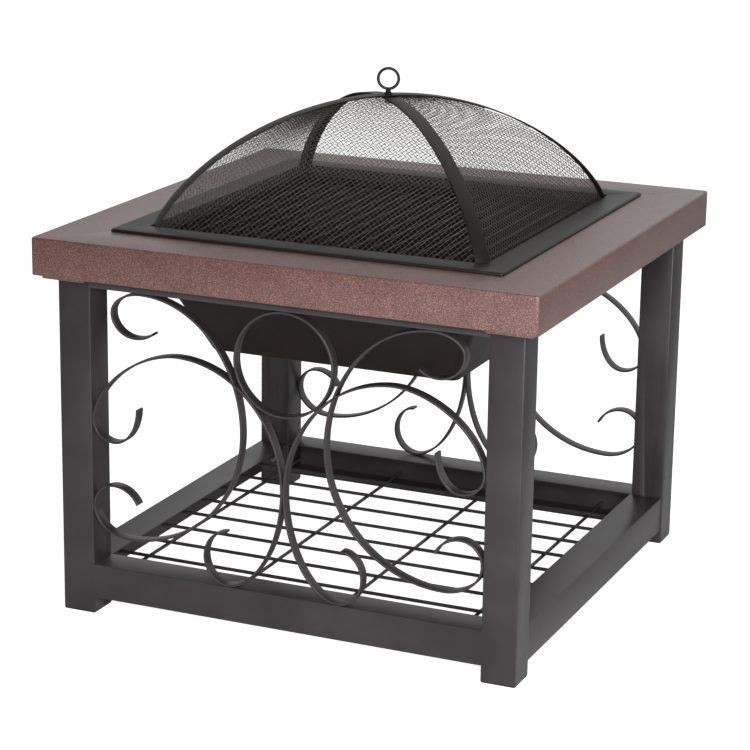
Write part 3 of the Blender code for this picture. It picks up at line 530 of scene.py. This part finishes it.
flat_bar = flat_bar_tree()
ring_radius = (ring_high.x - ring_low.x) / 2 - BAR / 2
ring_centre = ring_high.z - BAR / 2 - ring_radius
ring_turns = [2 * math.pi * step / 120 for step in range(120)]
for end in ("front", "back"):
    low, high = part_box(f"centre_ring_{end}")
    middle_y = (low.y + high.y) / 2
    width = high.y - low.y
    sizes = {"Width": width, "Thickness": BAR, "Edge": 0.0007, "Across": (0.0, 1.0, 0.0)}
    for side, sign in (("left", -1), ("right", 1)):
        place = f"{end}_{side}"
        line = [(sign * x, middle_y, z) for x, z in c_scroll_line()]
        piece = grown(
            f"c_scroll_bar_{place}", path_curve("c", line), flat_bar, "table", "frame", powder, **sizes
        )
        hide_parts(f"c_scroll_{place}")
        line = [(sign * x, middle_y, z) for x, z in wave_scroll_line()]
        piece = grown(
            f"wave_scroll_bar_{place}", path_curve("w", line), flat_bar, "table", "frame", powder, **sizes
        )
        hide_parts(f"wave_scroll_{place}", f"shoulder_scroll_{place}")
    line = [
        (ring_radius * math.sin(t), middle_y, ring_centre + ring_radius * math.cos(t))
        for t in ring_turns
    ]
    piece = grown(
        f"centre_ring_bar_{end}",
        path_curve("ring", line, closed=True),
        flat_bar,
        "table",
        "frame",
        powder,
        **sizes,
    )
    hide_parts(f"centre_ring_{end}")

# ---------------------------------------------------------------- weld tacks
# Short beads of weld under the powder coat, where scrolls meet legs, rails and each other.


def tack_tree():
    """A lumpy bead at every point, long across the panel."""
    tree = bpy.data.node_groups.new("weld tacks", "GeometryNodeTree")
    given = tree_inputs(tree, Bead_Radius="Float", Bead_Length="Float", Material="Material")
    bead = add(
        tree,
        "GeometryNodeMeshIcoSphere",
        values=(("Subdivisions", 3),),
        links=(("Radius", given.outputs["Bead Radius"]),),
    )
    noise = add(tree, "ShaderNodeTexNoise", values=(("Scale", 420.0), ("Detail", 1.0)))
    lump = add(
        tree,
        "ShaderNodeVectorMath",
        operation="MULTIPLY",
        links=((0, noise.outputs["Color"]),),
        values=((1, (0.0012, 0.0012, 0.0012)),),
    )
    lumpy = add(
        tree, "GeometryNodeSetPosition", links=((0, bead.outputs[0]), ("Offset", lump.outputs[0]))
    )
    scale = add(
        tree,
        "ShaderNodeCombineXYZ",
        values=(("X", 1.0), ("Z", 1.0)),
        links=(("Y", given.outputs["Bead Length"]),),
    )
    placed = add(
        tree,
        "GeometryNodeInstanceOnPoints",
        links=(
            (0, given.outputs["Geometry"]),
            ("Instance", lumpy.outputs[0]),
            ("Scale", scale.outputs[0]),
        ),
    )
    tree_end(tree, placed.outputs[0])
    return tree


tacks = tack_tree()
tack_places = [
    panel_point(0.735, 1.0) + (0, BAR / 2),
    panel_point(1.0, 0.217) + (BAR / 2, 0),
    panel_point(1.0, 0.530) + (BAR / 2, 0),
    panel_point(0.281, 0.0) - (0, BAR / 2),
]
for end in ("front", "back"):
    low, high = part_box(f"centre_ring_{end}")
    middle_y = (low.y + high.y) / 2
    points = [(s * x, middle_y, z) for x, z in tack_places for s in (-1, 1)]
    points.append((0.0, middle_y, bar_low))
    mesh = bpy.data.meshes.new("tack places")
    mesh.from_pydata(points, [], [])
    grown(
        f"scroll_tacks_{end}",
        mesh,
        tacks,
        "table",
        "frame",
        powder,
        sharp=80,
        Bead_Radius=0.0018,
        Bead_Length=3.2,
    )

# ---------------------------------------------------------------- wire rack
# Drawn round wire, the long wires resistance-welded over the cross wires, lying in the end rails.


def round_rod_tree():
    """A round rod swept along each line of the curve it is given."""
    tree = bpy.data.node_groups.new("welded rods", "GeometryNodeTree")
    given = tree_inputs(tree, Rod_Radius="Float", Material="Material")
    section = add(
        tree,
        "GeometryNodeCurvePrimitiveCircle",
        values=(("Resolution", 12),),
        links=(("Radius", given.outputs["Rod Radius"]),),
    )
    swept = add(
        tree,
        "GeometryNodeCurveToMesh",
        links=((0, given.outputs["Geometry"]), (1, section.outputs[0])),
        values=(("Fill Caps", True),),
    )
    tree_end(tree, swept.outputs[0])
    return tree


def straight_rods(name, rods):
    """A curve that holds one straight spline for each pair of end points."""
    curve = bpy.data.curves.new(name, "CURVE")
    curve.dimensions = "3D"
    for start, stop in rods:
        spline = curve.splines.new("POLY")
        spline.points.add(1)
        spline.points[0].co = (*start, 1.0)
        spline.points[1].co = (*stop, 1.0)
    return curve


rod_tree = round_rod_tree()
RACK_WIRE = 0.005
RACK_SIDE_GAP = 0.0008
CROSS_WIRE_SHARES = (-1.0, -0.389, 0.167, 0.801)
LONG_WIRE_SHARE = 0.195
low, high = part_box("shelf_rack")
cross_limit = leg_inner - RACK_SIDE_GAP - RACK_WIRE / 2
pitch = LONG_WIRE_SHARE * high.y
low_wire = low.z + RACK_WIRE / 2
high_wire = high.z - RACK_WIRE / 2
rods = [
    ((share * cross_limit, low.y, low_wire), (share * cross_limit, high.y, low_wire))
    for share in CROSS_WIRE_SHARES
]
rods += [((low.x, row * pitch, high_wire), (high.x, row * pitch, high_wire)) for row in range(-4, 5)]
piece = grown(
    "rack_wires",
    straight_rods("rack", rods),
    rod_tree,
    "table",
    "frame",
    powder,
    Rod_Radius=RACK_WIRE / 2,
)
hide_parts("shelf_rack")

# ---------------------------------------------------------------- fire bowl
# Pressed sheet steel in high-heat black, satin on the flange and chalkier inside.

stove, tree, shader = new_material("high-heat black enamel")
soot = surface(tree, 40, 4.0, 0.6)
fine = surface(tree, 1.2, 2.0)
tree.links.new(
    shader.inputs["Base Color"], ramp(tree, soot.outputs["Fac"], ((0.3, "#15100e"), (0.7, "#1f1715")))
)
roughened(tree, shader, soot.outputs["Fac"], 0.40, 0.55)
shader.inputs["Specular IOR Level"].default_value = 0.35
bumped(tree, shader, fine.outputs["Fac"], 0.04, 0.5)
eased("fire_bowl", 0.0007, stove, body="bowl")

# ---------------------------------------------------------------- grates
# Cooking grate: round rods welded over a square of heavier wire. Fuel grate: square bar. Both black, with
# painted shade.

grate_black_and_shade, tree, shader = new_material("black stove paint on wire")
fine = surface(tree, 2.0, 2.0)
# Black stove paint, darker here than on the straps: painted shade for the hollow of the bowl.
tree.links.new(
    shader.inputs["Base Color"], ramp(tree, fine.outputs["Fac"], ((0.3, "#050404"), (0.7, "#0a0808")))
)
roughened(tree, shader, fine.outputs["Fac"], 0.42, 0.55)
shader.inputs["Specular IOR Level"].default_value = 0.15
eased("fuel_grate", 0.0006, grate_black_and_shade, body="fuel_grate")

GRATE_ROD = 0.0045
GRATE_RAIL = 0.006
GRATE_PITCH = 0.0229
low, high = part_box("cooking_grate")
rod_z = high.z - GRATE_ROD / 2
reach = high.y - GRATE_RAIL / 4
rods = [
    ((k * GRATE_PITCH, -reach, rod_z), (k * GRATE_PITCH, reach, rod_z)) for k in range(-9, 10)
]
piece = grown(
    "cooking_grate_rods",
    straight_rods("rods", rods),
    rod_tree,
    "cooking_grate",
    "grate",
    grate_black_and_shade,
    Rod_Radius=GRATE_ROD / 2,
)
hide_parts("cooking_grate")
rail = high.x - GRATE_RAIL / 2
bend = 0.006
corner_turns = [math.radians(45 + 90 * k) for k in range(4)]
bend_turns = [math.radians(-45 + 15 * k) for k in range(7)]
frame_line = [
    (
        math.copysign(rail - bend, math.cos(a)) + bend * math.cos(a + b),
        math.copysign(rail - bend, math.sin(a)) + bend * math.sin(a + b),
        low.z + GRATE_RAIL / 2,
    )
    for a in corner_turns
    for b in bend_turns
]
grown(
    "cooking_grate_frame",
    path_curve("grate frame", frame_line, closed=True),
    rod_tree,
    "cooking_grate",
    "grate",
    grate_black_and_shade,
    Rod_Radius=GRATE_RAIL / 2,
)

# ---------------------------------------------------------------- spark screen
# A folded angle hoop and two flat straps that cross at the crown, in black stove paint, over four
# panels of woven wire laid on the bias.

HOOP_SET_IN = 0.0026
STRAP = 0.002
STRAP_WIDTH = 0.020
RUN_POWER = 1.96
RISE_POWER = 1.44
hoop_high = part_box("screen_hoop")[1]
foot = hoop_high.z + TOUCH
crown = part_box("screen_strap_lower")[1].z
arch_run = math.sqrt(2) * (hoop_high.x - HOOP_SET_IN)


def arch_line(raised, inset, steps=48):
    """Run from the centre and height of the arch from crown to foot, moved inward by inset."""
    line = []
    for step in range(steps + 1):
        angle = math.pi / 2 * step / steps
        run = arch_run * math.sin(angle) ** (2 / RUN_POWER)
        rise = (crown - foot) * math.cos(angle) ** (2 / RISE_POWER)
        line.append((run, foot + rise + raised * math.cos(angle) ** 2))
    line = np.array(line)
    ahead = np.gradient(line, axis=0)
    ahead[0] = (1, 0)
    ahead[-1] = (0, -1)
    ahead /= np.linalg.norm(ahead, axis=1)[:, None]
    moved = line - inset * np.stack([-ahead[:, 1], ahead[:, 0]], axis=1)
    moved[-1][1] = foot
    return moved


smoked, tree, shader = new_material("black stove paint on strap")
thin = surface(tree, 25, 3.0)
tree.links.new(
    shader.inputs["Base Color"], ramp(tree, thin.outputs["Fac"], ((0.3, "#130e0c"), (0.7, "#1b1412")))
)
roughened(tree, shader, thin.outputs["Fac"], 0.42, 0.55)
shader.inputs["Specular IOR Level"].default_value = 0.3
eased("screen_hoop", 0.0004, smoked, body="spark_screen")
strap_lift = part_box("screen_strap_upper")[1].z - crown
for name, raised, bearing in (
    ("screen_strap_lower", 0.0, -45),
    ("screen_strap_upper", strap_lift, 45),
):
    half = arch_line(raised, STRAP / 2)
    both = np.concatenate([(half * (-1, 1))[:0:-1], half])
    along = (math.cos(math.radians(bearing)), math.sin(math.radians(bearing)))
    line = [(run * along[0], run * along[1], z) for run, z in both]
    piece = grown(
        f"{name}_bar",
        path_curve(name, line),
        flat_bar,
        "spark_screen",
        "grate",
        smoked,
        Width=STRAP_WIDTH,
        Thickness=STRAP,
        Edge=0.0005,
        Across=(-along[1], along[0], 0.0),
    )
    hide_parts(name)

# Thin paint on drawn wire, half metallic so that it glints; its grey base, lighter than the black straps,
# is painted sheen as well.
wire_paint_and_sheen, tree, shader = new_material("painted woven steel wire")
shade = surface(tree, 3.0, 1.0)
# Grey stops instead of black: painted sheen on the wire.
tree.links.new(
    shader.inputs["Base Color"], ramp(tree, shade.outputs["Fac"], ((0.3, "#544d49"), (0.7, "#615955")))
)
shader.inputs["Roughness"].default_value = 0.38
shader.inputs["Metallic"].default_value = 0.5

MESH_PITCH = 0.0059
MESH_WIRE = 0.0007
MESH_GAP = 0.0002
MESH_SLACK = 0.006
MESH_REACH = 0.30
SHORTEST_WIRE = 0.4  # of a pitch
CLIMB_POWER = 1.4  # follows the rise of the upper strap along the panel's edge


def woven_tree():
    """Woven wire laid on the bias over the profile curve it is given, which runs crown to foot."""
    tree = bpy.data.node_groups.new("woven screen", "GeometryNodeTree")
    given = tree_inputs(
        tree,
        Pitch="Float",
        Wire="Float",
        Reach="Float",
        Count="Int",
        Gap="Float",
        Lift="Float",
        Upper_Side="Float",
        Slack="Float",
        Material="Material",
    )
    profile = given.outputs["Geometry"]
    length = add(tree, "GeometryNodeCurveLength", links=((0, profile),)).outputs[0]

    def maths(operation, first, second=None):
        """A maths node on sockets or plain numbers."""
        made = add(tree, "ShaderNodeMath", operation=operation)
        for place, value in enumerate((first, second)):
            if value is None:
                continue
            if isinstance(value, (int, float)):
                made.inputs[place].default_value = value
            else:
                tree.links.new(made.inputs[place], value)
        return made.outputs[0]

    reach = given.outputs["Reach"]
    back = maths("MULTIPLY", reach, -1)
    wire_line = add(tree, "GeometryNodeCurvePrimitiveLine")
    start = add(tree, "ShaderNodeCombineXYZ", links=(("X", back),))
    stop = add(tree, "ShaderNodeCombineXYZ", links=(("X", reach),))
    tree.links.new(wire_line.inputs["Start"], start.outputs[0])
    tree.links.new(wire_line.inputs["End"], stop.outputs[0])
    points_on_wire = maths("ADD", maths("MULTIPLY", given.outputs["Count"], 4), 1)
    wires_across = maths("ADD", maths("MULTIPLY", given.outputs["Count"], 2), 1)
    stepped = add(
        tree,
        "GeometryNodeResampleCurve",
        links=((0, wire_line.outputs[0]), ("Count", points_on_wire)),
    )
    wires = add(tree, "GeometryNodeMeshLine", links=(("Count", wires_across),))
    tree.links.new(
        wires.inputs["Start Location"],
        add(tree, "ShaderNodeCombineXYZ", links=(("Y", back),)).outputs[0],
    )
    tree.links.new(
        wires.inputs["Offset"],
        add(tree, "ShaderNodeCombineXYZ", links=(("Y", given.outputs["Pitch"]),)).outputs[0],
    )
    families = add(tree, "GeometryNodeJoinGeometry")
    for family in (1, -1):
        laid = add(
            tree,
            "GeometryNodeInstanceOnPoints",
            links=((0, wires.outputs[0]), ("Instance", stepped.outputs[0])),
        )
        real = add(tree, "GeometryNodeRealizeInstances", links=((0, laid.outputs[0]),))
        position = add(tree, "GeometryNodeInputPosition").outputs[0]
        place = add(tree, "ShaderNodeSeparateXYZ", links=((0, position),))
        u = place.outputs["X"]
        v = place.outputs["Y"]
        # Phase of the weave: over one crossing wire and under the next.
        steps = maths("DIVIDE", maths("ADD", u, v), given.outputs["Pitch"])
        crimp = maths(
            "MULTIPLY",
            maths("COSINE", maths("MULTIPLY", steps, math.pi)),
            maths("MULTIPLY", given.outputs["Wire"], 0.5 * family),
        )
        # One family of wires runs down to the right, the other up to the right.
        total = maths("ADD", u, v)
        if family > 0:
            across_twice, down_twice = maths("SUBTRACT", u, v), total
        else:
            across_twice, down_twice = total, maths("SUBTRACT", v, u)
        across = maths("MULTIPLY", across_twice, math.sqrt(0.5))
        down = maths("MULTIPLY", down_twice, math.sqrt(0.5))
        below = maths("ADD", down, maths("MULTIPLY", length, 0.5))
        sampled = add(
            tree,
            "GeometryNodeSampleCurve",
            mode="LENGTH",
            links=(("Curves", profile), ("Length", below)),
        )
        spot = add(tree, "ShaderNodeSeparateXYZ", links=((0, sampled.outputs["Position"]),))
        lean = add(tree, "ShaderNodeSeparateXYZ", links=((0, sampled.outputs["Tangent"]),))
        outward = maths("MULTIPLY", maths("MULTIPLY", lean.outputs["Z"], -1), crimp)
        x = maths("ADD", spot.outputs["X"], outward)
        z = maths("ADD", spot.outputs["Z"], maths("MULTIPLY", lean.outputs["X"], crimp))
        # The cloth climbs to the strap that passes over at the crown, along that edge only.
        share = maths("DIVIDE", across, spot.outputs["X"])
        edge = maths("MULTIPLY", share, given.outputs["Upper Side"])
        near = maths("MINIMUM", maths("MAXIMUM", edge, 0.0), 1.0)
        slope = maths("COSINE", maths("MULTIPLY", maths("DIVIDE", below, length), math.pi / 2))
        climb = maths("MULTIPLY", maths("POWER", maths("MAXIMUM", slope, 0.0), CLIMB_POWER), near)
        climb = maths("MULTIPLY", climb, given.outputs["Lift"])
        z = maths("ADD", z, climb)
        # Between the straps the loose cloth bellies inward.
        belly = maths("SUBTRACT", 1.0, maths("MULTIPLY", share, share))
        span = maths("SINE", maths("MULTIPLY", maths("DIVIDE", below, length), math.pi))
        inward = maths("MULTIPLY", maths("MULTIPLY", belly, span), given.outputs["Slack"])
        x = maths("SUBTRACT", x, inward)
        target = add(tree, "ShaderNodeCombineXYZ", links=(("X", x), ("Y", across), ("Z", z)))
        limit = maths("SUBTRACT", spot.outputs["X"], given.outputs["Gap"])
        outside = maths("GREATER_THAN", maths("ABSOLUTE", across), limit)
        above = maths("LESS_THAN", below, 0.0)
        under = maths("GREATER_THAN", below, length)
        drop = maths("MAXIMUM", outside, maths("MAXIMUM", above, under))
        kept = add(
            tree,
            "GeometryNodeStoreNamedAttribute",
            data_type="BOOLEAN",
            domain="POINT",
            links=((0, real.outputs[0]), ("Value", drop)),
            values=(("Name", "outside"),),
        )
        moved = add(
            tree,
            "GeometryNodeSetPosition",
            links=((0, kept.outputs[0]), ("Position", target.outputs[0])),
        )
        flag = add(
            tree, "GeometryNodeInputNamedAttribute", data_type="BOOLEAN", values=(("Name", "outside"),)
        )
        trimmed = add(
            tree,
            "GeometryNodeDeleteGeometry",
            domain="POINT",
            links=((0, moved.outputs[0]), ("Selection", flag.outputs["Attribute"])),
        )
        short = maths(
            "LESS_THAN",
            add(tree, "GeometryNodeSplineLength").outputs["Length"],
            maths("MULTIPLY", given.outputs["Pitch"], SHORTEST_WIRE),
        )
        whole = add(
            tree,
            "GeometryNodeDeleteGeometry",
            domain="CURVE",
            links=((0, trimmed.outputs[0]), ("Selection", short)),
        )
        tree.links.new(families.inputs[0], whole.outputs[0])
    section = add(
        tree,
        "GeometryNodeCurvePrimitiveCircle",
        values=(("Resolution", 4),),
        links=(("Radius", maths("MULTIPLY", given.outputs["Wire"], 0.5)),),
    )
    swept = add(
        tree,
        "GeometryNodeCurveToMesh",
        links=((0, families.outputs[0]), (1, section.outputs[0])),
        values=(("Fill Caps", True),),
    )
    tree_end(tree, swept.outputs[0])
    return tree


woven = woven_tree()
cloth_line = arch_line(0.0, STRAP + MESH_WIRE) / (math.sqrt(2), 1)
count = int(MESH_REACH / MESH_PITCH)
for quarter_turn, name in enumerate(("right", "back", "left", "front")):
    piece = grown(
        f"screen_wire_{name}",
        path_curve("profile", [(run, 0.0, z) for run, z in cloth_line]),
        woven,
        "spark_screen",
        "mesh",
        wire_paint_and_sheen,
        sharp=180,
        Pitch=MESH_PITCH,
        Wire=MESH_WIRE,
        Reach=count * MESH_PITCH,
        Count=count,
        Gap=MESH_GAP,
        Lift=strap_lift,
        Slack=MESH_SLACK,
        Upper_Side=1.0 if quarter_turn % 2 == 0 else -1.0,
    )
    piece.data.transform(Matrix.Rotation(math.pi / 2 * quarter_turn, 4, "Z"))
    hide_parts(f"screen_mesh_{name}")

# ---------------------------------------------------------------- lift ring
# An eye bolt of round bar through both straps, a washer above and a hexagon nut below.

eased("lift_ring", 0, smoked, body="spark_screen")
eased("ring_washer", 0.0002, smoked, body="spark_screen")
eased("ring_nut", 0.0003, zinc, body="spark_screen")
